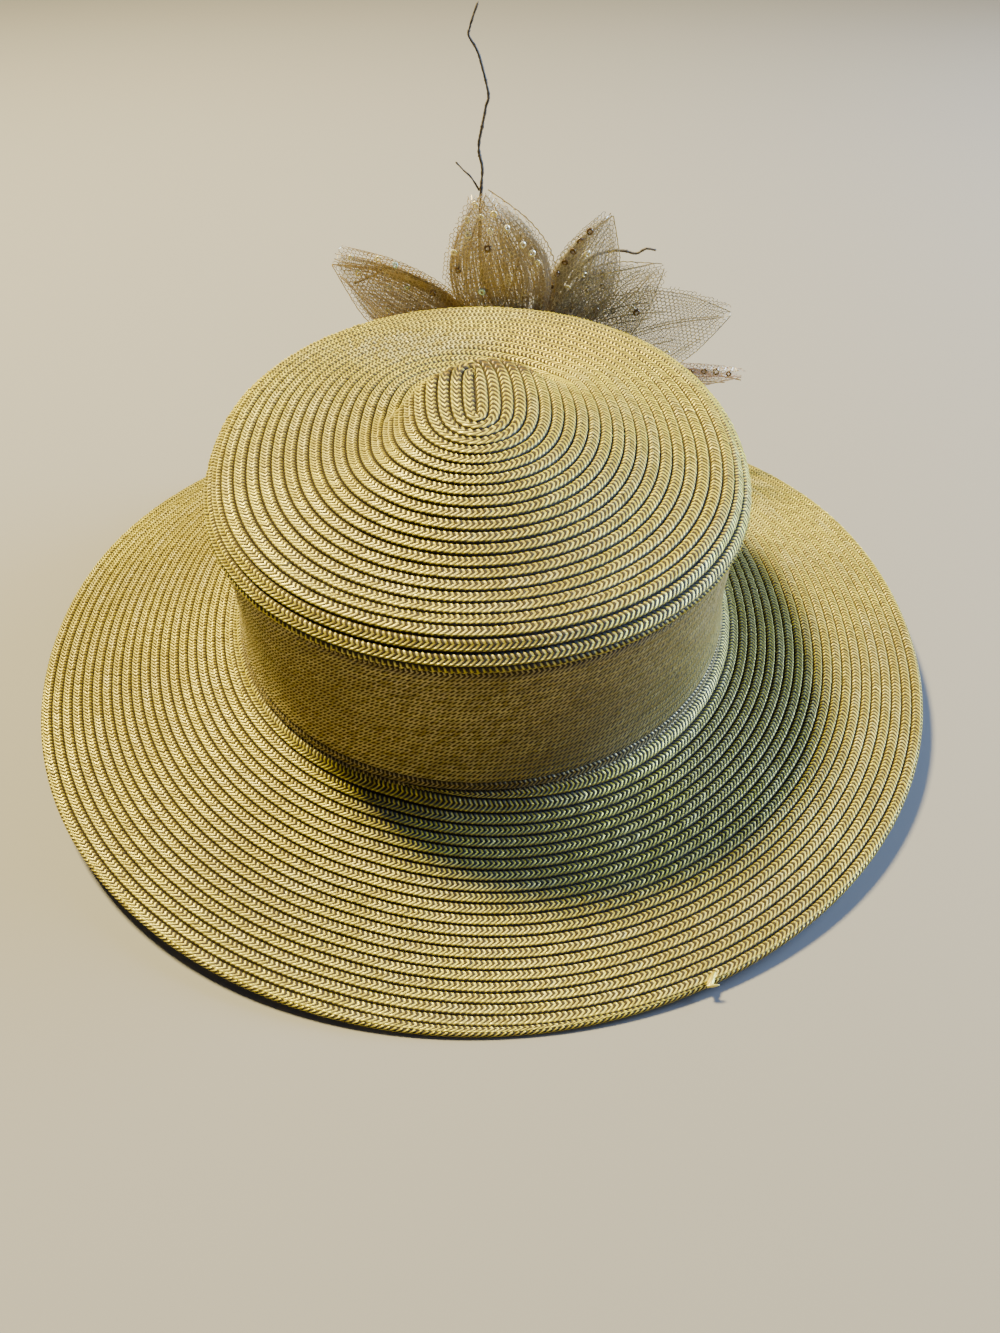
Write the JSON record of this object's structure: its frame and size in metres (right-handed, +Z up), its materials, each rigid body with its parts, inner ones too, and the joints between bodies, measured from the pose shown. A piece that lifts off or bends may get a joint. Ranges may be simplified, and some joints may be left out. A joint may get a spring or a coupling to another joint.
{
  "type": "wide brim straw hat with net flower",
  "caption": "Wide brim hat of sewn straw braid: oval crown with an overhanging domed tip, brim dipping at the front, and a pointed net flower with thin twigs.",
  "frame": {"origin": "middle of the footprint, on the surface that the brim stands on", "axes": "+Z up, +Y to the front of the hat, where the flower is, +X to the right seen from the back"},
  "size_m": [0.3146, 0.3407, 0.1895],
  "materials": {
    "straw": "shiny pale gold straw braid, sewn in rows",
    "net": "beige gold net with small round sequins",
    "felt": "dark felt",
    "twig": "dark dry twig"
  },
  "bodies": {
    "root": {"crown_tip": "straw", "crown_side": "straw", "brim": "straw", "flower_backing": "felt", "flower_button": "net", "petal_left": "net", "petal_top": "net", "petal_fold": "net", "petal_mid_right": "net", "petal_right": "net", "petal_low_right": "net", "petal_under_right": "net", "petal_under_mid": "net", "petal_bottom": "net", "petal_under_left": "net", "petal_low_left": "net", "petal_side_left": "net", "twig_tall": "twig", "twig_right": "twig", "twig_left": "twig"}
  },
  "joints": []
}
